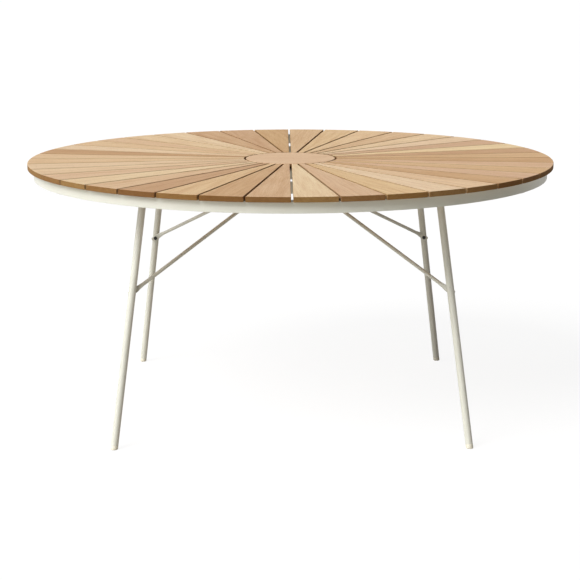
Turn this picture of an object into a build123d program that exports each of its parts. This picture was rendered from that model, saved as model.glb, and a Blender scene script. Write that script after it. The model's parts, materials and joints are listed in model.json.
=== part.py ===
from build123d import *
from math import asin, cos, radians, sin
import os

# Round garden table: radial hardwood slats on a painted steel frame with four braced legs.
# The origin is on the ground under the middle of the top, and the front is towards -Y.

# Table top
table_height = 725.0
top_diameter = 1500.0
slat_count = 40
slat_thickness = 14.0
slat_gap = 5.5          # open joint between neighbouring slats, the same width all along
slat_edge = 1.5         # eased upper edges of slats and disc
disc_diameter = 257.0
disc_gap = 5.0          # open joint between the disc and the slat ends

# Rim, a rolled angle bar that the slats overhang
frame_depth = 30.0
ring_inset = 17.0
ring_flange = 30.0
ring_steel = 4.0

# Centre ring, a tee that carries the disc on its inside and the slat ends on its outside
centre_flange = 60.0
centre_steel = 4.0

# Cross bars, rectangular tube running from rim to rim above the legs
bar_width = 20.0
bar_wall = 2.0

# Legs, round tube with a welded top plate
leg_diameter = 20.0
leg_wall = 1.5
leg_top_offset = 392.0  # legs meet the cross bars this far from both middle planes
foot_offset = 478.0     # and stand on the ground this far out
plate_length = 84.0
plate_width = 24.0
plate_thickness = 4.0
plate_corner = 5.0
plate_bolt_spacing = 60.0

# Foot caps, plugs pressed into the leg tubes
cap_height = 12.0
cap_stem = 18.0
cap_edge = 1.5          # eased edge that meets the ground

# Braces, round tube flattened and drilled at both ends
brace_diameter = 10.0
flat_width = 15.6
flat_thickness = 3.0
flat_tip = 13.0         # radius of the rounded tip, about the bolt
flat_setback = 4.0      # the flat starts to swell this far before its bend
flat_margin = 1.0       # room between the swelling and the hub's lug
swell_length = 22.0     # the tube is round this far behind the bend
swell_width = 12.8      # half-way section of the swelling
swell_thickness = 6.4
brace_joint_height = 420.0
seat_gap = 0.1          # paint between a flat and what it is bolted to

# Hub under the centre ring, with one lug for each brace
hub_thickness = 4.0
hub_bolt_radius = 45.0
hub_clearance = 3.0     # room above the tips of the braces
lug_width = 22.0
lug_thickness = 6.0

# Hexagon bolts, the same size throughout
bolt_diameter = 6.0
bolt_clearance = 0.5
bolt_length = 14.0
bolt_head_flats = 10.0
bolt_head_height = 4.0

# Levels and radii that follow
frame_top = table_height - slat_thickness
frame_bottom = frame_top - frame_depth
top_radius = top_diameter / 2
disc_radius = disc_diameter / 2
slat_start = disc_radius + disc_gap
ring_radius = top_radius - ring_inset
ring_wall_radius = ring_radius - ring_steel
joint_radius = disc_radius + disc_gap / 2
leg_radius = leg_diameter / 2
bolt_radius = bolt_diameter / 2
bolt_hole_radius = bolt_radius + bolt_clearance / 2
plate_bottom = frame_bottom - plate_thickness
hub_bolt_drop = flat_tip + hub_clearance
corners = {
    "front_left": (-1, -1),
    "front_right": (1, -1),
    "rear_right": (1, 1),
    "rear_left": (-1, 1),
}
leg_heads = [(sx * leg_top_offset, sy * leg_top_offset) for sx, sy in corners.values()]


def save(piece, name):
    piece.label = name
    export_step(piece, f"parts/{name}.step")


os.makedirs("parts", exist_ok=True)

# Slats: wedges with parallel joints, so each side line is shifted by half a joint
slat_step = 360 / slat_count
half_step = radians(slat_step / 2)
outer_half = half_step - asin(slat_gap / 2 / top_radius)
inner_half = half_step - asin(slat_gap / 2 / slat_start)
for number in range(slat_count):
    turn = -90 + slat_step * (number + 0.5)
    with BuildPart() as slat:
        with BuildSketch(Plane.XY.offset(frame_top).rotated((0, 0, turn))):
            with BuildLine():
                inner_low = (slat_start * cos(inner_half), -slat_start * sin(inner_half))
                inner_high = (slat_start * cos(inner_half), slat_start * sin(inner_half))
                outer_low = (top_radius * cos(outer_half), -top_radius * sin(outer_half))
                outer_high = (top_radius * cos(outer_half), top_radius * sin(outer_half))
                Line(inner_low, outer_low)
                ThreePointArc(outer_low, (top_radius, 0), outer_high)
                Line(outer_high, inner_high)
                ThreePointArc(inner_high, (slat_start, 0), inner_low)
            make_face()
        extrude(amount=slat_thickness)
        chamfer(slat.faces().sort_by(Axis.Z)[-1].edges(), slat_edge)
    save(slat.part, f"slat_{number + 1:02d}")

# Disc that closes the middle, level with the slats
with BuildPart() as centre_disc:
    with BuildSketch(Plane.XY.offset(frame_top)):
        Circle(disc_radius)
    extrude(amount=slat_thickness)
    chamfer(centre_disc.faces().sort_by(Axis.Z)[-1].edges(), slat_edge)
save(centre_disc.part, "centre_disc")

# Rim: upright wall outside, flange under the slats
with BuildPart() as outer_ring:
    with BuildSketch(Plane.XZ):
        with Locations((ring_radius, frame_top)):
            Rectangle(ring_steel, frame_depth, align=(Align.MAX, Align.MAX))
            Rectangle(ring_flange, ring_steel, align=(Align.MAX, Align.MAX))
    revolve(axis=Axis.Z)
save(outer_ring.part, "outer_ring")

# Centre ring: its web stands under the joint between disc and slats
with BuildPart() as centre_ring:
    with BuildSketch(Plane.XZ):
        with Locations((joint_radius, frame_top)):
            Rectangle(centre_flange, centre_steel, align=(Align.CENTER, Align.MAX))
            Rectangle(centre_steel, frame_depth - hub_thickness, align=(Align.CENTER, Align.MAX))
    revolve(axis=Axis.Z)
save(centre_ring.part, "centre_ring")

# Cross bars, coped to the rim's wall and notched under its flange
for name, side in (("front_cross_bar", -1), ("rear_cross_bar", 1)):
    with BuildPart() as cross_bar:
        with BuildSketch(Plane.YZ):
            with Locations((side * leg_top_offset, frame_top - frame_depth / 2)):
                Rectangle(bar_width, frame_depth)
                Rectangle(bar_width - 2 * bar_wall, frame_depth - 2 * bar_wall, mode=Mode.SUBTRACT)
        extrude(amount=ring_radius, both=True)
        with BuildSketch(Plane.XY.offset(frame_bottom)):
            Circle(ring_wall_radius)
        extrude(amount=frame_depth, mode=Mode.INTERSECT)
        with BuildSketch(Plane.XY.offset(frame_top)):
            Circle(ring_radius)
            Circle(ring_radius - ring_flange, mode=Mode.SUBTRACT)
        extrude(amount=-ring_steel, mode=Mode.SUBTRACT)
        with BuildSketch(Plane.XY.offset(frame_bottom)):
            with Locations(*leg_heads):
                with GridLocations(plate_bolt_spacing, 0, 2, 1):
                    Circle(bolt_radius)
        extrude(amount=bar_wall, mode=Mode.SUBTRACT)
    save(cross_bar.part, name)

# Lines that each leg and its brace follow
up = Vector(0, 0, 1)
seat_offset = leg_radius + seat_gap + flat_thickness / 2
lines = {}
for corner, (sx, sy) in corners.items():
    foot = Vector(sx * foot_offset, sy * foot_offset, 0)
    head = Vector(sx * leg_top_offset, sy * leg_top_offset, frame_bottom)
    rise = (head - foot).normalized()
    outward = Vector(sx, sy, 0).normalized()
    across = Vector(sx, -sy, 0).normalized()
    inward_y = Vector(0, -sy, 0)
    # The lower flat lies on the leg's side that faces the table's middle plane
    seat_normal = (inward_y - rise * inward_y.dot(rise)).normalized()
    leg_joint = foot + rise * (brace_joint_height / rise.Z)
    seat = leg_joint + seat_normal * seat_offset
    hub_bolt = outward * hub_bolt_radius + up * (frame_bottom - hub_bolt_drop)
    # It bends where its line towards the hub crosses the leg's own upright plane
    aim = hub_bolt - seat_normal * (hub_bolt - seat).dot(seat_normal)
    flat_line = aim - seat
    bend = seat - flat_line * (seat.dot(across) / flat_line.dot(across))
    lines[corner] = {
        "foot": foot,
        "head": head,
        "rise": rise,
        "across": across,
        "seat_normal": seat_normal,
        "leg_joint": leg_joint,
        "seat": seat,
        "hub_bolt": hub_bolt,
        "flat_line": flat_line.normalized(),
        "bend_reach": (bend - seat).length,
        "run": (hub_bolt - bend).normalized(),
    }

# Legs, with the hole for the brace bolt in one wall
for corner, line in lines.items():
    with BuildPart() as leg:
        with BuildSketch(Plane(line["foot"], z_dir=line["rise"]).offset(cap_height)):
            Circle(leg_radius)
            Circle(leg_radius - leg_wall, mode=Mode.SUBTRACT)
        extrude(amount=frame_top)
        split(bisect_by=Plane.XY.offset(plate_bottom), keep=Keep.BOTTOM)
        with BuildSketch(Plane(line["leg_joint"], z_dir=line["seat_normal"])):
            Circle(bolt_radius)
        extrude(amount=leg_diameter, mode=Mode.SUBTRACT)
        with BuildSketch(Plane.XY.offset(plate_bottom)):
            with Locations((line["head"].X, line["head"].Y)):
                RectangleRounded(plate_length, plate_width, plate_corner)
                with GridLocations(plate_bolt_spacing, 0, 2, 1):
                    Circle(bolt_hole_radius, mode=Mode.SUBTRACT)
        extrude(amount=plate_thickness)
    save(leg.part, f"{corner}_leg")

# Foot caps, cut level where they meet the ground
for corner, line in lines.items():
    with BuildPart() as foot_cap:
        with BuildSketch(Plane(line["foot"], z_dir=line["rise"]).offset(-leg_radius)):
            Circle(leg_radius)
        extrude(amount=leg_radius + cap_height)
        with BuildSketch(Plane(line["foot"], z_dir=line["rise"]).offset(cap_height)):
            Circle(leg_radius - leg_wall)
        extrude(amount=cap_stem)
        split(bisect_by=Plane.XY, keep=Keep.TOP)
        chamfer(foot_cap.faces().sort_by(Axis.Z)[0].edges(), cap_edge)
    save(foot_cap.part, f"{corner}_foot_cap")

# Braces: each end is a drilled flat that swells into the round tube
for corner, line in lines.items():
    run = line["run"]
    lug_reach = lug_width / 2 + flat_margin + flat_setback
    ends = (
        (line["seat"], line["flat_line"], line["seat_normal"], line["bend_reach"], run),
        (line["hub_bolt"], -run, line["across"], lug_reach, -run),
    )
    tube_ends = []
    with BuildPart() as brace:
        for bolt_point, flat_dir, normal, reach, tube_dir in ends:
            width_dir = normal.cross(flat_dir)
            bend = bolt_point + flat_dir * reach
            flat_end = bend - flat_dir * flat_setback
            tube_end = bend + tube_dir * swell_length
            middle = (flat_end + bend * 2 + tube_end) / 4
            tube_ends.append(tube_end)
            # Flat, with a rounded tip and the bolt hole
            with BuildSketch(Plane(flat_end, x_dir=width_dir, z_dir=-flat_dir)):
                SlotOverall(flat_width, flat_thickness)
            extrude(amount=flat_tip + reach - flat_setback)
            with BuildSketch(Plane(bolt_point, x_dir=flat_dir, z_dir=normal)):
                Rectangle(flat_tip * 2, flat_tip * 2, align=(Align.MAX, Align.CENTER))
                Circle(flat_tip, mode=Mode.SUBTRACT)
                Circle(bolt_hole_radius)
            extrude(amount=flat_thickness, both=True, mode=Mode.SUBTRACT)
            # Swelling round the bend
            with BuildSketch(Plane(flat_end, x_dir=width_dir, z_dir=flat_dir)):
                SlotOverall(flat_width, flat_thickness)
            with BuildSketch(Plane(middle, x_dir=width_dir, z_dir=tube_end - flat_end)):
                SlotOverall(swell_width, swell_thickness)
            with BuildSketch(Plane(tube_end, x_dir=width_dir, z_dir=tube_dir)):
                Circle(brace_diameter / 2)
            loft()
        with BuildSketch(Plane(tube_ends[0], z_dir=run)):
            Circle(brace_diameter / 2)
        extrude(amount=(tube_ends[1] - tube_ends[0]).length)
    save(brace.part, f"{corner}_brace")

# Hub plate with its drilled lugs, one beside each brace
with BuildPart() as brace_hub:
    with BuildSketch(Plane.XY.offset(frame_bottom)):
        Circle(joint_radius + centre_steel / 2)
    extrude(amount=hub_thickness)
    for line in lines.values():
        lug_face = line["hub_bolt"] - line["across"] * (flat_thickness / 2 + seat_gap)
        with BuildSketch(Plane(lug_face, x_dir=up, z_dir=-line["across"])):
            Circle(lug_width / 2)
            Rectangle(hub_bolt_drop + hub_thickness, lug_width, align=(Align.MIN, Align.CENTER))
            Circle(bolt_radius, mode=Mode.SUBTRACT)
        extrude(amount=lug_thickness)
save(brace_hub.part, "brace_hub")

# Bolts that hold the leg plates to the cross bars
with BuildPart() as leg_bolts:
    with BuildSketch(Plane.XY.offset(plate_bottom)):
        with Locations(*leg_heads):
            with GridLocations(plate_bolt_spacing, 0, 2, 1):
                RegularPolygon(bolt_head_flats / 2, 6, major_radius=False)
    extrude(amount=-bolt_head_height)
    with BuildSketch(Plane.XY.offset(plate_bottom)):
        with Locations(*leg_heads):
            with GridLocations(plate_bolt_spacing, 0, 2, 1):
                Circle(bolt_radius)
    extrude(amount=bolt_length)
save(leg_bolts.part, "leg_bolts")

# Bolts that hold both ends of each brace
with BuildPart() as brace_bolts:
    for line in lines.values():
        seats = (
            (line["seat"], line["seat_normal"]),
            (line["hub_bolt"], line["across"]),
        )
        for bolt_point, normal in seats:
            with BuildSketch(Plane(bolt_point, z_dir=normal).offset(flat_thickness / 2)):
                RegularPolygon(bolt_head_flats / 2, 6, major_radius=False)
            extrude(amount=bolt_head_height)
            with BuildSketch(Plane(bolt_point, z_dir=normal).offset(flat_thickness / 2)):
                Circle(bolt_radius)
            extrude(amount=-bolt_length)
save(brace_bolts.part, "brace_bolts")
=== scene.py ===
import json
import math
import bmesh
import bpy
from mathutils import Matrix, Vector


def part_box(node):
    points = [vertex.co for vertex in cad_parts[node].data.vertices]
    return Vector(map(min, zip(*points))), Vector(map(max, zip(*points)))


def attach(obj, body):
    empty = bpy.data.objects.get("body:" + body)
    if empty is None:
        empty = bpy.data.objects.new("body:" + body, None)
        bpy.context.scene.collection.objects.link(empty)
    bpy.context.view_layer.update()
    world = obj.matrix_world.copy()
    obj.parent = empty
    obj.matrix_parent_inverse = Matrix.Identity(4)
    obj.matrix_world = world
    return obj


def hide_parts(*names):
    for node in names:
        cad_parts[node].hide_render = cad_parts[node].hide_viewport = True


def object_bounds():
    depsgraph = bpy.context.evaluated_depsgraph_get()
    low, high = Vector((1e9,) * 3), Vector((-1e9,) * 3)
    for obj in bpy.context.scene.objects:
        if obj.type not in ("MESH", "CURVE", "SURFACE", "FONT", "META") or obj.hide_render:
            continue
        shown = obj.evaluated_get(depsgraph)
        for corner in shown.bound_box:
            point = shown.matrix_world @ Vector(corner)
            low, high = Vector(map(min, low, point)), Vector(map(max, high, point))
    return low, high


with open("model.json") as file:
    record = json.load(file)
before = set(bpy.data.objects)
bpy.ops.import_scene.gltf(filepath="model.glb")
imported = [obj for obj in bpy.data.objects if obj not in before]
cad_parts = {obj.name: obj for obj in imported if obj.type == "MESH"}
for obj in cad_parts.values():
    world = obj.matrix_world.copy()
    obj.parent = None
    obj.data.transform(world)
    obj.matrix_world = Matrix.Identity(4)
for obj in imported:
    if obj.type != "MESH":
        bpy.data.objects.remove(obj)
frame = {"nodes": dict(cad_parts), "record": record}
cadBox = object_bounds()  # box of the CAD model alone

print("frame:", len(frame["nodes"]), "nodes")

mmPerMetre = 1000
noiseRange = (0.3, 0.7)  # most values of a noise texture lie between these


def toLinear(hexColour):
    shares = [int(hexColour[at:at + 2], 16) / 255 for at in (1, 3, 5)]
    return [s / 12.92 if s <= 0.04045 else ((s + 0.055) / 1.055) ** 2.4 for s in shares] + [1.0]


def addNode(tree, kind, wires=(), **settings):
    node = tree.nodes.new(kind)
    for name, value in settings.items():
        setattr(node, name, value)
    for key, value in wires.items() if isinstance(wires, dict) else enumerate(wires):
        if isinstance(value, bpy.types.Node):
            value = value.outputs[0]
        if isinstance(value, bpy.types.NodeSocket):
            tree.links.new(value, node.inputs[key])
        else:
            node.inputs[key].default_value = value
    return node


def newMaterial(name):
    material = bpy.data.materials.new(name)
    material.use_nodes = True
    material.node_tree.nodes.clear()
    return material, material.node_tree


def newGeometryTree(name, inputs, takesMesh=False):
    tree = bpy.data.node_groups.new(name, "GeometryNodeTree")
    tree.interface.new_socket("Geometry", in_out="OUTPUT", socket_type="NodeSocketGeometry")
    if takesMesh:
        tree.interface.new_socket("Geometry", in_out="INPUT", socket_type="NodeSocketGeometry")
    for label, kind in inputs.items():
        tree.interface.new_socket(label, in_out="INPUT", socket_type="NodeSocket" + kind)
    return tree, addNode(tree, "NodeGroupInput").outputs


def endTree(tree, geometry, finish):  # a plain mesh with its finish, because the export drops instances
    whole = addNode(tree, "GeometryNodeRealizeInstances", (geometry,))
    finished = addNode(tree, "GeometryNodeSetMaterial", {"Geometry": whole, "Material": finish})
    addNode(tree, "NodeGroupOutput", (finished,))


def turnOfEach(tree, count):  # angle of each copy round the table, the first half a step past the front
    step = addNode(tree, "ShaderNodeMath", (2 * math.pi, count), operation="DIVIDE")
    middle = addNode(tree, "ShaderNodeMath", (addNode(tree, "GeometryNodeInputIndex"), 0.5), operation="ADD")
    return addNode(tree, "ShaderNodeMath", (middle, step, -math.pi / 2), operation="MULTIPLY_ADD")


def onCircle(tree, radius, angle, height):
    flat = []
    for operation in ("COSINE", "SINE"):
        share = addNode(tree, "ShaderNodeMath", (angle,), operation=operation)
        flat.append(addNode(tree, "ShaderNodeMath", (radius, share), operation="MULTIPLY"))
    return addNode(tree, "ShaderNodeCombineXYZ", (*flat, height))


def newHost(name, mesh=None):
    host = bpy.data.objects.new(name, mesh or bpy.data.meshes.new(name))
    bpy.context.scene.collection.objects.link(host)
    return host


def addTree(host, tree, values):
    modifier = host.modifiers.new(tree.name, "NODES")
    modifier.node_group = tree
    for item in tree.interface.items_tree:
        if item.in_out == "INPUT" and item.name in values:
            modifier[item.identifier] = values[item.name]


def addEasedEdges(host, width, segments=3, sharpAngle=30):
    bevel = host.modifiers.new("easedEdges", "BEVEL")
    bevel.width = width
    bevel.segments = segments
    bevel.limit_method = "ANGLE"
    bevel.angle_limit = math.radians(sharpAngle)


def settle(host, flatFaces=True):
    if flatFaces:  # large faces keep their own normal beside the rounded edges
        host.modifiers.new("flatFaces", "WEIGHTED_NORMAL")
    graph = bpy.context.evaluated_depsgraph_get()
    mesh = bpy.data.meshes.new_from_object(
        host.evaluated_get(graph), preserve_all_data_layers=True, depsgraph=graph)
    host.modifiers.clear()
    host.data = mesh


def place(piece, slotName, *nodes):
    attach(piece, "root")
    if nodes:
        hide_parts(*nodes)


# Levels and radii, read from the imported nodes
topLevel = cadBox[1][2]
topRadius = cadBox[1][0]
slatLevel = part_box("slat_01")[0][2]
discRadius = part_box("centre_disc")[1][0]
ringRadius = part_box("outer_ring")[1][0]


# Camera where the photographer stood, fitted to the rim, the slat joints and the feet
viewpoint = {
    "place": (-0.028, -4.703, 1.325),
    "pitchDown": 11.878,    # degrees, as turn and roll are
    "turn": -0.318,
    "roll": -0.117,
    "lens": 101.7,          # mm, as the sensor is
    "sensor": 36.0,
}
camera = newHost("photoCamera", bpy.data.cameras.new("photoCamera"))
camera.data.lens = viewpoint["lens"]
camera.data.sensor_width = viewpoint["sensor"]
camera.matrix_world = (
    Matrix.Translation(viewpoint["place"])
    @ Matrix.Rotation(math.radians(viewpoint["turn"]), 4, "Z")
    @ Matrix.Rotation(math.radians(90 - viewpoint["pitchDown"]), 4, "X")
    @ Matrix.Rotation(math.radians(viewpoint["roll"]), 4, "Z")
)
bpy.context.scene.camera = camera
bpy.context.scene.view_settings.view_transform = "Standard"
print("camera set")


# Oiled teak: planed, satin, straight fibres with darker late wood and fine open pores
teak = {
    "tones": ("#c8a478", "#dbbd97", "#e7cca4", "#f3e1bc"),  # from the darkest board to the palest
    "honey": "#fffcf2",     # tints that the boards range between
    "pink": "#fdf8ff",
    # Darker marks: mm wide and how many times as long, from which level to which, how strong, which colour
    "streaks": {"width": 16.0, "run": 22, "from": 0.38, "full": 0.72, "share": 0.35, "colour": "#d2b496"},
    "lateWood": {"from": -0.2, "full": 1.0, "share": 0.16, "colour": "#dcc0a2"},
    "fibres": {"width": 1.6, "run": 40, "from": 0.45, "full": 0.75, "share": 0.45, "colour": "#dcc4aa"},
    "pores": {"width": 0.8, "run": 14, "from": 0.6, "full": 0.7, "share": 0.8, "colour": "#b08c6a"},
    "ringSpacing": 9.0,     # mm, a little wide so that it shows
    "ringWander": 0.03,     # m, how far the rings sway
    "wanderScale": 5.0,     # per metre
    "logLean": 0.035,       # rise of a board against its log, per metre
    "inLogFrom": (-4.0, -0.06, -0.66),  # m, where a board may lie in its log: along, aside, above the heart
    "inLogTo": (4.0, 0.06, -0.6),
    "cutFacing": 0.6,       # limit on a face's normal that tells cut faces from the top
    "endGrainAndJointShade": "#948262",  # multiplies the board's tone where the fibres are cut across, and on the sides as painted shade in the joints
    "jointShadeShare": 0.75,      # how much of that darkening the sides take, as painted shade inside the joints
    "roughness": (0.54, 0.7),
    "endRoughness": 0.25,   # added where cut fibres drink the oil
    "relief": {"Strength": 0.25, "Distance": 0.0004},
    "specular": 0.22,
}


def teakFinish():
    material, tree = newMaterial("oiledTeak")
    local = addNode(tree, "ShaderNodeAttribute", attribute_name="grainCoord").outputs["Vector"]
    shift = addNode(tree, "ShaderNodeAttribute", attribute_name="boardShift").outputs["Vector"]
    tone = addNode(tree, "ShaderNodeAttribute", attribute_name="boardTone").outputs["Fac"]
    endGrainAndJointShade = addNode(tree, "ShaderNodeAttribute", attribute_name="endGrainAndJointShade").outputs["Fac"]
    inLog = addNode(tree, "ShaderNodeVectorMath", (local, shift), operation="ADD")

    def stretched(mark):  # noise as wide as the mark and run times as long
        perMetre = mmPerMetre / mark["width"]
        grid = (perMetre / mark["run"], perMetre, perMetre)
        scaled = addNode(tree, "ShaderNodeVectorMath", (inLog, grid), operation="MULTIPLY")
        return addNode(tree, "ShaderNodeTexNoise", {
            "Vector": scaled, "Scale": 1.0, "Detail": 3.0, "Roughness": 0.55})

    streaks = stretched(teak["streaks"])
    fibres = stretched(teak["fibres"])
    pores = stretched(teak["pores"])
    # Growth rings: distance from the heart of a log whose axis leans against the board
    parts = addNode(tree, "ShaderNodeSeparateXYZ", (inLog,)).outputs
    wander = addNode(tree, "ShaderNodeTexNoise", {"Vector": inLog, "Scale": teak["wanderScale"], "Detail": 2.0})
    sway = addNode(tree, "ShaderNodeMath", (wander, teak["ringWander"], -teak["ringWander"] / 2),
                   operation="MULTIPLY_ADD")
    side = addNode(tree, "ShaderNodeMath", (parts[1], sway), operation="ADD")
    rise = addNode(tree, "ShaderNodeMath", (parts[0], teak["logLean"], parts[2]), operation="MULTIPLY_ADD")
    offHeart = addNode(tree, "ShaderNodeCombineXYZ", (0.0, side, rise))
    radius = addNode(tree, "ShaderNodeVectorMath", (offHeart,), operation="LENGTH").outputs["Value"]
    radiansPerMetre = 2 * math.pi * mmPerMetre / teak["ringSpacing"]
    turns = addNode(tree, "ShaderNodeMath", (radius, radiansPerMetre), operation="MULTIPLY")
    rings = addNode(tree, "ShaderNodeMath", (turns,), operation="SINE")
    # Colour: the board's own tone, tinted, then streaks, rings, fibres, pores, and the darker cut faces with
    # painted shade on the sides in the joints, over it
    ramp = addNode(tree, "ShaderNodeValToRGB", (tone,))
    stops = ramp.color_ramp.elements
    while len(stops) < len(teak["tones"]):
        stops.new(0.5)
    for number, hexColour in enumerate(teak["tones"]):
        stops[number].position = number / (len(teak["tones"]) - 1)
        stops[number].color = toLinear(hexColour)
    # Some boards lean to pink, others to honey
    lean = addNode(tree, "ShaderNodeSeparateXYZ", (shift,)).outputs[1]
    pinkness = addNode(tree, "ShaderNodeMapRange", (lean, teak["inLogFrom"][1], teak["inLogTo"][1], 0.0, 1.0))
    tint = addNode(tree, "ShaderNodeMix", {
        0: pinkness, 6: toLinear(teak["honey"]), 7: toLinear(teak["pink"])}, data_type="RGBA")
    layers = [(1.0, tint.outputs[2])]
    for name, source in (("streaks", streaks), ("lateWood", rings), ("fibres", fibres), ("pores", pores)):
        mark = teak[name]
        share = addNode(tree, "ShaderNodeMapRange", (source, mark["from"], mark["full"], 0.0, mark["share"]))
        layers.append((share, toLinear(mark["colour"])))
    # Darker end grain on the ends, and painted shade on the slat sides inside the joints
    layers.append((endGrainAndJointShade, toLinear(teak["endGrainAndJointShade"])))
    colour = ramp.outputs[0]
    for share, layer in layers:
        mix = addNode(tree, "ShaderNodeMix", {0: share, 6: colour, 7: layer},
                      data_type="RGBA", blend_type="MULTIPLY")
        colour = mix.outputs[2]
    gloss = addNode(tree, "ShaderNodeMapRange", (fibres, *noiseRange, *teak["roughness"]))
    gloss = addNode(tree, "ShaderNodeMath", (endGrainAndJointShade, teak["endRoughness"], gloss), operation="MULTIPLY_ADD")
    # Relief: fibres and pores stand a few hundredths of a millimetre deep
    depth = addNode(tree, "ShaderNodeMath", (pores, fibres), operation="ADD")
    relief = addNode(tree, "ShaderNodeBump", {**teak["relief"], "Height": depth})
    shader = addNode(tree, "ShaderNodeBsdfPrincipled", {
        "Base Color": colour, "Roughness": gloss, "Specular IOR Level": teak["specular"], "Normal": relief})
    addNode(tree, "ShaderNodeOutputMaterial", (shader,))
    return material


# Powder-coated steel: cream white, satin, with the faint orange peel of the baked powder
creamCoat = {
    "colour": "#d0d0c6",
    "mottle": "#cacabf",
    "mottleScale": 9.0,     # per metre
    "peelWidth": 2.2,       # mm
    "roughness": (0.34, 0.44),
    "relief": {"Strength": 0.12, "Distance": 0.0003},
    "specular": 0.45,
}


def creamCoatFinish():
    material, tree = newMaterial("powderCoatedSteel")
    spot = addNode(tree, "ShaderNodeTexCoord").outputs["Object"]
    peel = addNode(tree, "ShaderNodeTexNoise", {
        "Vector": spot, "Scale": mmPerMetre / creamCoat["peelWidth"], "Detail": 1.0})
    cloud = addNode(tree, "ShaderNodeTexNoise", {
        "Vector": spot, "Scale": creamCoat["mottleScale"], "Detail": 3.0})
    colour = addNode(tree, "ShaderNodeMix", {
        0: cloud, 6: toLinear(creamCoat["colour"]), 7: toLinear(creamCoat["mottle"])}, data_type="RGBA")
    gloss = addNode(tree, "ShaderNodeMapRange", (cloud, *noiseRange, *creamCoat["roughness"]))
    relief = addNode(tree, "ShaderNodeBump", {**creamCoat["relief"], "Height": peel})
    shader = addNode(tree, "ShaderNodeBsdfPrincipled", {
        "Base Color": colour.outputs[2], "Roughness": gloss, "Specular IOR Level": creamCoat["specular"],
        "Normal": relief})
    addNode(tree, "ShaderNodeOutputMaterial", (shader,))
    return material


# Blackened bolt steel: dark oxide that breaks to grey where it was turned
boltSteel = {
    "oxide": "#2c2a28",
    "worn": "#5a5753",
    "wear": {"from": 0.5, "full": 0.75, "share": 0.6},
    "grit": 0.6,            # mm
    "metallic": 0.85,
    "roughness": (0.38, 0.55),
}


def boltSteelFinish():
    material, tree = newMaterial("blackenedSteel")
    spot = addNode(tree, "ShaderNodeTexCoord").outputs["Object"]
    grit = addNode(tree, "ShaderNodeTexNoise", {
        "Vector": spot, "Scale": mmPerMetre / boltSteel["grit"], "Detail": 2.0})
    wear = boltSteel["wear"]
    worn = addNode(tree, "ShaderNodeMapRange", (grit, wear["from"], wear["full"], 0.0, wear["share"]))
    colour = addNode(tree, "ShaderNodeMix", {
        0: worn, 6: toLinear(boltSteel["oxide"]), 7: toLinear(boltSteel["worn"])}, data_type="RGBA")
    gloss = addNode(tree, "ShaderNodeMapRange", (grit, *noiseRange, *boltSteel["roughness"]))
    shader = addNode(tree, "ShaderNodeBsdfPrincipled", {
        "Base Color": colour.outputs[2], "Metallic": boltSteel["metallic"], "Roughness": gloss})
    addNode(tree, "ShaderNodeOutputMaterial", (shader,))
    return material


# Stainless wood screws: bright, lightly brushed by tumbling
screwSteel = {
    "colour": "#c3c1bc",
    "shade": "#9a9893",
    "grit": 0.5,            # mm
    "metallic": 1.0,
    "roughness": (0.22, 0.36),
}


def screwSteelFinish():
    material, tree = newMaterial("stainlessSteel")
    spot = addNode(tree, "ShaderNodeTexCoord").outputs["Object"]
    grit = addNode(tree, "ShaderNodeTexNoise", {
        "Vector": spot, "Scale": mmPerMetre / screwSteel["grit"], "Detail": 2.0})
    colour = addNode(tree, "ShaderNodeMix", {
        0: grit, 6: toLinear(screwSteel["colour"]), 7: toLinear(screwSteel["shade"])}, data_type="RGBA")
    gloss = addNode(tree, "ShaderNodeMapRange", (grit, *noiseRange, *screwSteel["roughness"]))
    shader = addNode(tree, "ShaderNodeBsdfPrincipled", {
        "Base Color": colour.outputs[2], "Metallic": screwSteel["metallic"], "Roughness": gloss})
    addNode(tree, "ShaderNodeOutputMaterial", (shader,))
    return material


# Moulded nylon foot caps: matt, slightly warmer than the coat, darker towards the bottom
footNylon = {
    "colour": "#dedacb",
    "lowerColour": "#c9c4b3",
    "darkerBelow": 0.008,
    "darkerShare": 0.8,
    "grain": 1.0,           # mm
    "roughness": (0.5, 0.65),
    "relief": {"Strength": 0.2, "Distance": 0.0002},
}


def footNylonFinish():
    material, tree = newMaterial("mouldedNylon")
    spot = addNode(tree, "ShaderNodeTexCoord").outputs["Object"]
    grain = addNode(tree, "ShaderNodeTexNoise", {
        "Vector": spot, "Scale": mmPerMetre / footNylon["grain"], "Detail": 2.0})
    level = addNode(tree, "ShaderNodeSeparateXYZ", (spot,)).outputs[2]
    # Colour darkens towards the bottom of each cap
    lowerShare = addNode(tree, "ShaderNodeMapRange", (
        level, 0.0, footNylon["darkerBelow"], footNylon["darkerShare"], 0.0))
    colour = addNode(tree, "ShaderNodeMix", {
        0: lowerShare, 6: toLinear(footNylon["colour"]), 7: toLinear(footNylon["lowerColour"])}, data_type="RGBA")
    gloss = addNode(tree, "ShaderNodeMapRange", (grain, *noiseRange, *footNylon["roughness"]))
    relief = addNode(tree, "ShaderNodeBump", {**footNylon["relief"], "Height": grain})
    shader = addNode(tree, "ShaderNodeBsdfPrincipled", {
        "Base Color": colour.outputs[2], "Roughness": gloss, "Normal": relief})
    addNode(tree, "ShaderNodeOutputMaterial", (shader,))
    return material


oiledTeak = teakFinish()
powderCoat = creamCoatFinish()
blackenedSteel = boltSteelFinish()
stainlessSteel = screwSteelFinish()
mouldedNylon = footNylonFinish()
print("materials made")


# Slats: one wedge with parallel joints is shaped, eased and fanned round the table
slats = {
    "count": 40,
    "jointWidth": 0.0055,
    "discJoint": 0.005,
    "acrossSteps": 6,       # straight runs that follow each end's arc
    "edgeRadius": 0.0012,
    "seed": 40,             # mixes pale and dark boards evenly round the table
}
slatStart = discRadius + slats["discJoint"]


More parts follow.
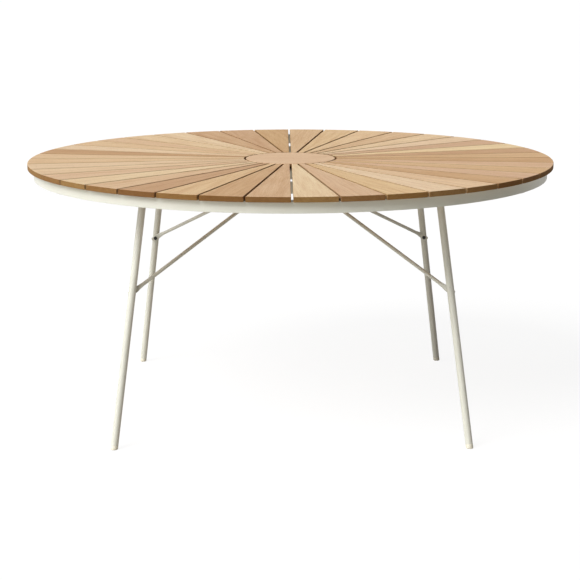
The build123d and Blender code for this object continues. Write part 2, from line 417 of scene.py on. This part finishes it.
def slatBlankTree():
    tree, given = newGeometryTree("slatBlank", {
        "Slat Count": "Int", "Inner Radius": "Float", "Outer Radius": "Float", "Joint Width": "Float",
        "Level": "Float", "Thickness": "Float", "Across Steps": "Int"})
    rows = addNode(tree, "ShaderNodeMath", (given["Across Steps"], 1), operation="ADD")
    block = addNode(tree, "GeometryNodeMeshCube", {
        "Size": (1, 1, 1), "Vertices X": 2, "Vertices Y": rows, "Vertices Z": 2})
    spot = addNode(tree, "ShaderNodeSeparateXYZ", (addNode(tree, "GeometryNodeInputPosition"),)).outputs
    reach = addNode(tree, "ShaderNodeMapRange", (
        spot[0], -0.5, 0.5, given["Inner Radius"], given["Outer Radius"]))
    # Half the angle of a slat, less what half a joint takes at that radius
    halfStep = addNode(tree, "ShaderNodeMath", (math.pi, given["Slat Count"]), operation="DIVIDE")
    halfJoint = addNode(tree, "ShaderNodeMath", (given["Joint Width"], 0.5), operation="MULTIPLY")
    sine = addNode(tree, "ShaderNodeMath", (halfJoint, reach), operation="DIVIDE")
    lost = addNode(tree, "ShaderNodeMath", (sine,), operation="ARCSINE")
    halfAngle = addNode(tree, "ShaderNodeMath", (halfStep, lost), operation="SUBTRACT")
    share = addNode(tree, "ShaderNodeMath", (spot[1], 2.0), operation="MULTIPLY")
    angle = addNode(tree, "ShaderNodeMath", (share, halfAngle), operation="MULTIPLY")
    raised = addNode(tree, "ShaderNodeMath", (spot[2], 0.5), operation="ADD")
    height = addNode(tree, "ShaderNodeMath", (raised, given["Thickness"], given["Level"]),
                     operation="MULTIPLY_ADD")
    shaped = addNode(tree, "GeometryNodeSetPosition", {
        "Geometry": block, "Position": onCircle(tree, reach, angle, height)})
    smooth = addNode(tree, "GeometryNodeSetShadeSmooth", {"Geometry": shaped})
    addNode(tree, "NodeGroupOutput", (smooth,))
    return tree


def slatFanTree():
    tree, given = newGeometryTree("slatFan", {
        "Slat Count": "Int", "Seed": "Int", "Finish": "Material"}, takesMesh=True)
    spot = addNode(tree, "GeometryNodeInputPosition")
    normal = addNode(tree, "GeometryNodeInputNormal")
    facing = addNode(tree, "ShaderNodeVectorMath", (normal,), operation="ABSOLUTE")
    facing = addNode(tree, "ShaderNodeSeparateXYZ", (facing,)).outputs
    isEnd = addNode(tree, "ShaderNodeMath", (facing[0], teak["cutFacing"]), operation="GREATER_THAN")
    isSide = addNode(tree, "ShaderNodeMath", (facing[1], teak["cutFacing"]), operation="GREATER_THAN")
    # Ends take the darker end-grain colour in full; sides take part of it as painted shade in the joints
    grainAndShadeShare = addNode(tree, "ShaderNodeMath", (isSide, teak["jointShadeShare"], isEnd), operation="MULTIPLY_ADD")
    board = addNode(tree, "GeometryNodeStoreNamedAttribute", {
        "Geometry": given["Geometry"], "Name": "grainCoord", "Value": spot},
        data_type="FLOAT_VECTOR", domain="POINT")
    board = addNode(tree, "GeometryNodeStoreNamedAttribute", {
        "Geometry": board, "Name": "endGrainAndJointShade", "Value": grainAndShadeShare}, data_type="FLOAT", domain="FACE")
    turn = turnOfEach(tree, given["Slat Count"])
    fan = addNode(tree, "GeometryNodeInstanceOnPoints", {
        "Points": addNode(tree, "GeometryNodePoints", {"Count": given["Slat Count"]}),
        "Instance": board, "Rotation": addNode(tree, "ShaderNodeCombineXYZ", (0.0, 0.0, turn))})
    tone = addNode(tree, "FunctionNodeRandomValue", {
        2: 0.0, 3: 1.0, "Seed": given["Seed"]}, data_type="FLOAT")
    shift = addNode(tree, "FunctionNodeRandomValue", {
        0: teak["inLogFrom"], 1: teak["inLogTo"], "Seed": given["Seed"]}, data_type="FLOAT_VECTOR")
    fan = addNode(tree, "GeometryNodeStoreNamedAttribute", {
        "Geometry": fan, "Name": "boardTone", "Value": tone.outputs[1]}, data_type="FLOAT", domain="INSTANCE")
    fan = addNode(tree, "GeometryNodeStoreNamedAttribute", {
        "Geometry": fan, "Name": "boardShift", "Value": shift}, data_type="FLOAT_VECTOR", domain="INSTANCE")
    endTree(tree, fan, given["Finish"])
    return tree


slatTop = newHost("teakSlats")
addTree(slatTop, slatBlankTree(), {
    "Slat Count": slats["count"], "Inner Radius": slatStart, "Outer Radius": topRadius,
    "Joint Width": slats["jointWidth"], "Level": slatLevel, "Thickness": topLevel - slatLevel,
    "Across Steps": slats["acrossSteps"]})
addEasedEdges(slatTop, slats["edgeRadius"])
addTree(slatTop, slatFanTree(), {"Slat Count": slats["count"], "Seed": slats["seed"], "Finish": oiledTeak})
settle(slatTop)
place(slatTop, "teak", *[f"slat_{number:02d}" for number in range(1, slats["count"] + 1)])
print("slats:", len(slatTop.data.polygons), "faces")


# Disc in the middle, level with the slats
disc = {
    "segments": 180,
    "edgeRadius": 0.0014,
    "tone": 0.62,           # 0 is the darkest board and 1 the palest
    "shift": (1.7, 0.09, -0.66),
}


def discTop():
    shape = bmesh.new()
    rim = bmesh.ops.create_circle(shape, cap_ends=True, segments=disc["segments"], radius=discRadius)["verts"]
    bmesh.ops.translate(shape, verts=rim, vec=(0, 0, slatLevel))
    lifted = bmesh.ops.extrude_face_region(shape, geom=shape.faces[:])["geom"]
    bmesh.ops.translate(shape, verts=[v for v in lifted if isinstance(v, bmesh.types.BMVert)],
                        vec=(0, 0, topLevel - slatLevel))
    bmesh.ops.recalc_face_normals(shape, faces=shape.faces[:])
    mesh = bpy.data.meshes.new("teakDisc")
    shape.to_mesh(mesh)
    shape.free()
    mesh.polygons.foreach_set("use_smooth", [True] * len(mesh.polygons))
    piece = newHost("teakDisc", mesh)
    addEasedEdges(piece, disc["edgeRadius"])
    settle(piece)
    mesh = piece.data
    count = len(mesh.vertices)
    ofPoints = {
        "grainCoord": ("FLOAT_VECTOR", "vector", [axis for vertex in mesh.vertices for axis in vertex.co]),
        "boardShift": ("FLOAT_VECTOR", "vector", list(disc["shift"]) * count),
        "boardTone": ("FLOAT", "value", [disc["tone"]] * count),
    }
    for name, (kind, field, values) in ofPoints.items():
        mesh.attributes.new(name, kind, "POINT").data.foreach_set(field, values)
    # Edge faces take the darker end-grain colour in full: end grain, and painted shade in the joint round the
    # disc
    grainAndShadeShare = [float(abs(face.normal.z) < teak["cutFacing"]) for face in mesh.polygons]
    mesh.attributes.new("endGrainAndJointShade", "FLOAT", "FACE").data.foreach_set("value", grainAndShadeShare)
    mesh.materials.append(oiledTeak)
    return piece


place(discTop(), "teak", "centre_disc")
print("disc made")


# Pan-head wood screws that hold slats and disc from below, through the steel flanges
screws = {
    "headRadius": 0.0042,
    "headHeight": 0.0026,
    "crownShare": 0.62,     # of the head's radius
    "socketShare": 0.55,    # of the crown
    "recess": 0.0014,
    "sides": 12,
    "circles": {            # name: (how many, radius of the circle, node whose flange holds them)
        "rimScrews": (40, 0.7165, "outer_ring"),
        "innerScrews": (40, 0.1495, "centre_ring"),
        "discScrews": (6, 0.1135, "centre_ring"),
    },
    "flange": 0.004,
}


def screwCircleTree():
    tree, given = newGeometryTree("screwCircle", {
        "Count": "Int", "Circle Radius": "Float", "Level": "Float", "Head Radius": "Float",
        "Head Height": "Float", "Recess Depth": "Float", "Sides": "Int", "Finish": "Material"})
    crown = addNode(tree, "ShaderNodeMath", (given["Head Radius"], screws["crownShare"]), operation="MULTIPLY")
    head = addNode(tree, "GeometryNodeMeshCone", {
        "Vertices": given["Sides"], "Side Segments": 1, "Fill Segments": 1, "Radius Top": crown,
        "Radius Bottom": given["Head Radius"], "Depth": given["Head Height"]})
    inset = addNode(tree, "GeometryNodeExtrudeMesh", {
        "Mesh": head, "Selection": head.outputs["Top"], "Offset Scale": 0.0}, mode="FACES")
    narrowed = addNode(tree, "GeometryNodeScaleElements", {
        "Geometry": inset, "Selection": inset.outputs["Top"], "Scale": screws["socketShare"]})
    sink = addNode(tree, "ShaderNodeMath", (given["Recess Depth"], -1.0), operation="MULTIPLY")
    socket = addNode(tree, "GeometryNodeExtrudeMesh", {
        "Mesh": narrowed, "Selection": inset.outputs["Top"], "Offset Scale": sink}, mode="FACES")
    turn = turnOfEach(tree, given["Count"])
    spots = addNode(tree, "GeometryNodePoints", {
        "Count": given["Count"], "Position": onCircle(tree, given["Circle Radius"], turn, given["Level"])})
    headDown = addNode(tree, "ShaderNodeCombineXYZ", (math.pi, 0.0, turn))
    ring = addNode(tree, "GeometryNodeInstanceOnPoints", {
        "Points": spots, "Instance": socket, "Rotation": headDown})
    endTree(tree, ring, given["Finish"])
    return tree


screwTree = screwCircleTree()
for name, (count, circleRadius, carrier) in screws["circles"].items():
    ringOfScrews = newHost(name)
    addTree(ringOfScrews, screwTree, {
        "Count": count, "Circle Radius": circleRadius, "Level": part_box(carrier)[1][2] - screws["flange"],
        "Head Radius": screws["headRadius"], "Head Height": screws["headHeight"],
        "Recess Depth": screws["recess"], "Sides": screws["sides"], "Finish": stainlessSteel})
    settle(ringOfScrews, flatFaces=False)
    place(ringOfScrews, "bolt_steel")
print("screws made")


# Steel as the powder coat leaves it: each CAD node's shape with its sharp edges rounded
coatedEdges = {
    "radius": {"painted_steel": 0.0008, "bolt_steel": 0.0005},
    "segments": 2,
    "mergeWithin": 0.00001,
    "flatWithin": 0.5,      # degrees
    "nodes": [
        "outer_ring", "centre_ring", "brace_hub", "front_cross_bar", "rear_cross_bar", "leg_bolts",
        "brace_bolts", "front_left_leg", "front_right_leg", "rear_right_leg", "rear_left_leg",
    ],
}
slotOf = {subpart["node"]: subpart["material_slot"] for subpart in frame["record"]["subparts"]}
finishes = {
    "painted_steel": powderCoat,
    "bolt_steel": blackenedSteel,
    "foot_plastic": mouldedNylon,
    "teak": oiledTeak,
}


def easedCopy(name):
    node = frame["nodes"][name]
    mesh = node.data.copy()
    if "custom_normal" in mesh.attributes:
        mesh.attributes.remove(mesh.attributes["custom_normal"])
    shape = bmesh.new()
    shape.from_mesh(mesh)
    shape.transform(node.matrix_world)
    bmesh.ops.remove_doubles(shape, verts=shape.verts[:], dist=coatedEdges["mergeWithin"])
    bmesh.ops.dissolve_limit(shape, angle_limit=math.radians(coatedEdges["flatWithin"]),
                             verts=shape.verts[:], edges=shape.edges[:])
    for face in shape.faces:
        face.smooth = True
    shape.to_mesh(mesh)
    shape.free()
    mesh.materials.clear()
    mesh.materials.append(finishes[slotOf[name]])
    piece = newHost(name + "_eased", mesh)
    addEasedEdges(piece, coatedEdges["radius"][slotOf[name]], segments=coatedEdges["segments"])
    settle(piece)
    place(piece, slotOf[name], name)
    return len(piece.data.polygons)


print("rounded steel:", {name: easedCopy(name) for name in coatedEdges["nodes"]})


# Weld beads under the paint, where bars, plates, lugs and hub were joined
welds = {
    "beadRadius": 0.0016,
    "beadSides": 8,
    "beadStep": 0.0015,
    "ripple": 0.0007,
    "rippleLength": 2.4,    # mm
    "legTop": 0.392,        # legs' axes at the underside of the cross bars, from both middle planes
    "legFoot": 0.478,
    "legRadius": 0.010,
    "legSteps": 32,
    "hubSteps": 180,
    "plate": 0.004,
    "barHalf": 0.010,
    "barShares": (-1, -0.5, 0, 0.5, 1),  # where the bead crosses the bar's width
    "lugPlace": (0.045, -0.0046),   # out from the middle, and beside the brace
    "lugHalf": (0.011, 0.003),
}
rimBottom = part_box("outer_ring")[0][2]
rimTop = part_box("outer_ring")[1][2]
wallInside = ringRadius - screws["flange"]
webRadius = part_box("brace_hub")[1][0]
cornerSigns = [(-1, -1), (1, -1), (1, 1), (-1, 1)]


def turnsOf(steps):
    return [2 * math.pi * step / steps for step in range(steps)]


def weldLines():
    lines = []
    splay = welds["legFoot"] - welds["legTop"]
    drop = welds["plate"] / rimBottom
    spread = welds["legTop"] + splay * drop
    slope = splay * math.sqrt(2) / rimBottom
    shortHalf = welds["legRadius"]
    longHalf = shortHalf * math.sqrt(1 + slope * slope)  # the tube is cut level, so its edge is an ellipse
    reach, shift = welds["lugPlace"]
    halfLong, halfWide = welds["lugHalf"]
    high = rimTop - screws["flange"]
    for sx, sy in cornerSigns:
        out = Vector((sx, sy, 0)).normalized()
        beside = Vector((sx, -sy, 0)).normalized()
        middle = Vector((sx * spread, sy * spread, rimBottom - welds["plate"]))
        tubeEnd = [middle + out * longHalf * math.cos(turn) + beside * shortHalf * math.sin(turn)
                   for turn in turnsOf(welds["legSteps"])]
        lines.append((tubeEnd, True))
        lug = out * reach + beside * shift + Vector((0, 0, rimBottom))
        lines.append(([lug + out * halfLong * a + beside * halfWide * b for a, b in cornerSigns], True))
        ys = [sy * welds["legTop"] + welds["barHalf"] * share for share in welds["barShares"]]
        onWall = [(sx * math.sqrt(wallInside ** 2 - y * y), y) for y in ys]
        barEnd = [(*onWall[0], high)] + [(x, y, rimBottom) for x, y in onWall] + [(*onWall[-1], high)]
        lines.append((barEnd, False))
    level = rimBottom + welds["plate"]
    hubEdge = [(webRadius * math.cos(turn), webRadius * math.sin(turn), level)
               for turn in turnsOf(welds["hubSteps"])]
    lines.append((hubEdge, True))
    return lines


def weldTree():
    tree, given = newGeometryTree("weldBead", {
        "Bead Radius": "Float", "Bead Sides": "Int", "Ripple": "Float", "Ripple Scale": "Float",
        "Step": "Float", "Finish": "Material"}, takesMesh=True)
    line = addNode(tree, "GeometryNodeMeshToCurve", {"Mesh": given["Geometry"]})
    fine = addNode(tree, "GeometryNodeResampleCurve", {"Curve": line, "Length": given["Step"]}, mode="LENGTH")
    ring = addNode(tree, "GeometryNodeCurvePrimitiveCircle", {
        "Resolution": given["Bead Sides"], "Radius": given["Bead Radius"]})
    bead = addNode(tree, "GeometryNodeCurveToMesh", {"Curve": fine, "Profile Curve": ring, "Fill Caps": True})
    waves = addNode(tree, "ShaderNodeTexNoise", {"Scale": given["Ripple Scale"], "Detail": 1.0})
    swell = addNode(tree, "ShaderNodeMath", (waves, 0.5), operation="SUBTRACT")
    amount = addNode(tree, "ShaderNodeMath", (swell, given["Ripple"]), operation="MULTIPLY")
    normal = addNode(tree, "GeometryNodeInputNormal")
    push = addNode(tree, "ShaderNodeVectorMath", {0: normal, 3: amount}, operation="SCALE")
    rippled = addNode(tree, "GeometryNodeSetPosition", {"Geometry": bead, "Offset": push})
    smooth = addNode(tree, "GeometryNodeSetShadeSmooth", {"Geometry": rippled})
    endTree(tree, smooth, given["Finish"])
    return tree


def weldBeads():
    points, edges = [], []
    for line, closed in weldLines():
        first = len(points)
        points += [tuple(point) for point in line]
        edges += [(number, number + 1) for number in range(first, len(points) - 1)]
        if closed:
            edges.append((len(points) - 1, first))
    mesh = bpy.data.meshes.new("weldBeads")
    mesh.from_pydata(points, edges, [])
    piece = newHost("weldBeads", mesh)
    addTree(piece, weldTree(), {
        "Bead Radius": welds["beadRadius"], "Bead Sides": welds["beadSides"], "Ripple": welds["ripple"],
        "Ripple Scale": mmPerMetre / welds["rippleLength"], "Step": welds["beadStep"], "Finish": powderCoat})
    settle(piece, flatFaces=False)
    place(piece, "painted_steel")
    return len(piece.data.polygons)


print("weld beads:", weldBeads(), "faces")


# Finishes of the CAD nodes that stay
for name, slotName in slotOf.items():
    for materialSlot in frame["nodes"][name].material_slots:
        materialSlot.material = finishes[slotName]
print("finishes given to the CAD nodes")


# Studio: key softbox at the front left, window high on the left, low card, weak warm fill, pale floor
studio = {
    "sources": {            # name: (direction, strength, degrees that it spans)
        "keySoftbox": ((-0.48, -0.56, 0.67), 2.4, 30.0),
        "sideWindow": ((-0.85, -0.06, 0.52), 1.6, 60.0),
        "lowCard": ((-0.58, -0.8, 0.17), 1.5, 60.0),
    },
    "ambient": 0.02,
    "mirrored": 0.9,        # white of the studio walls as shiny faces show it
    "white": "#ffffff",     # of walls and floor where they are seen
    "fill": "#ffe6cb",      # the weak light all round is a little warm
    "floor": "#d0cbc0",     # pale and a little warm where it throws light back
    "floorReach": 120.0,
    "floorShade": 0.9,      # floor's own white seen by the camera before light adds to it
    "floorCatch": 0.14,     # share of the light that the seen floor adds, which leaves the shadow
}


def seenRays(tree):  # 1 where camera, shiny or clear faces look, 0 for light that falls on things
    path = addNode(tree, "ShaderNodeLightPath").outputs
    seen = path["Is Camera Ray"]
    for kind in ("Is Glossy Ray", "Is Transmission Ray"):
        seen = addNode(tree, "ShaderNodeMath", (seen, path[kind]), operation="MAXIMUM")
    return seen, path["Is Glossy Ray"]


def studioLights():
    for name, (direction, strength, span) in studio["sources"].items():
        source = newHost(name, bpy.data.lights.new(name, "SUN"))
        source.data.energy = strength
        source.data.angle = math.radians(span)
        source.matrix_world = Vector(direction).to_track_quat("Z", "Y").to_matrix().to_4x4()
    world = bpy.data.worlds.new("whiteStudio")
    world.use_nodes = True
    tree = world.node_tree
    tree.nodes.clear()
    seen, mirrored = seenRays(tree)
    level = addNode(tree, "ShaderNodeMapRange", (seen, 0.0, 1.0, studio["ambient"], 1.0))
    level = addNode(tree, "ShaderNodeMix", {0: mirrored, 2: level, 3: studio["mirrored"]})
    tint = addNode(tree, "ShaderNodeMix", {
        0: seen, 6: toLinear(studio["fill"]), 7: toLinear(studio["white"])}, data_type="RGBA")
    glow = addNode(tree, "ShaderNodeBackground", {"Color": tint.outputs[2], "Strength": level})
    addNode(tree, "ShaderNodeOutputWorld", (glow,))
    bpy.context.scene.world = world


def studioFloor():
    reach = studio["floorReach"]
    mesh = bpy.data.meshes.new("paleFloor")
    mesh.from_pydata([(sx * reach, sy * reach, 0) for sx, sy in cornerSigns], [], [(0, 1, 2, 3)])
    material, tree = newMaterial("paleFloor")
    seen = seenRays(tree)[0]
    plain = addNode(tree, "ShaderNodeBsdfDiffuse", {"Color": toLinear(studio["floor"])})
    catching = addNode(tree, "ShaderNodeBsdfDiffuse", {"Color": [studio["floorCatch"]] * 3 + [1.0]})
    white = addNode(tree, "ShaderNodeEmission", {
        "Color": toLinear(studio["white"]), "Strength": studio["floorShade"]})
    bright = addNode(tree, "ShaderNodeAddShader", (catching, white))
    both = addNode(tree, "ShaderNodeMixShader", (seen, plain, bright))
    addNode(tree, "ShaderNodeOutputMaterial", (both,))
    mesh.materials.append(material)
    newHost("paleFloor", mesh)


studioLights()
studioFloor()
print("studio set")
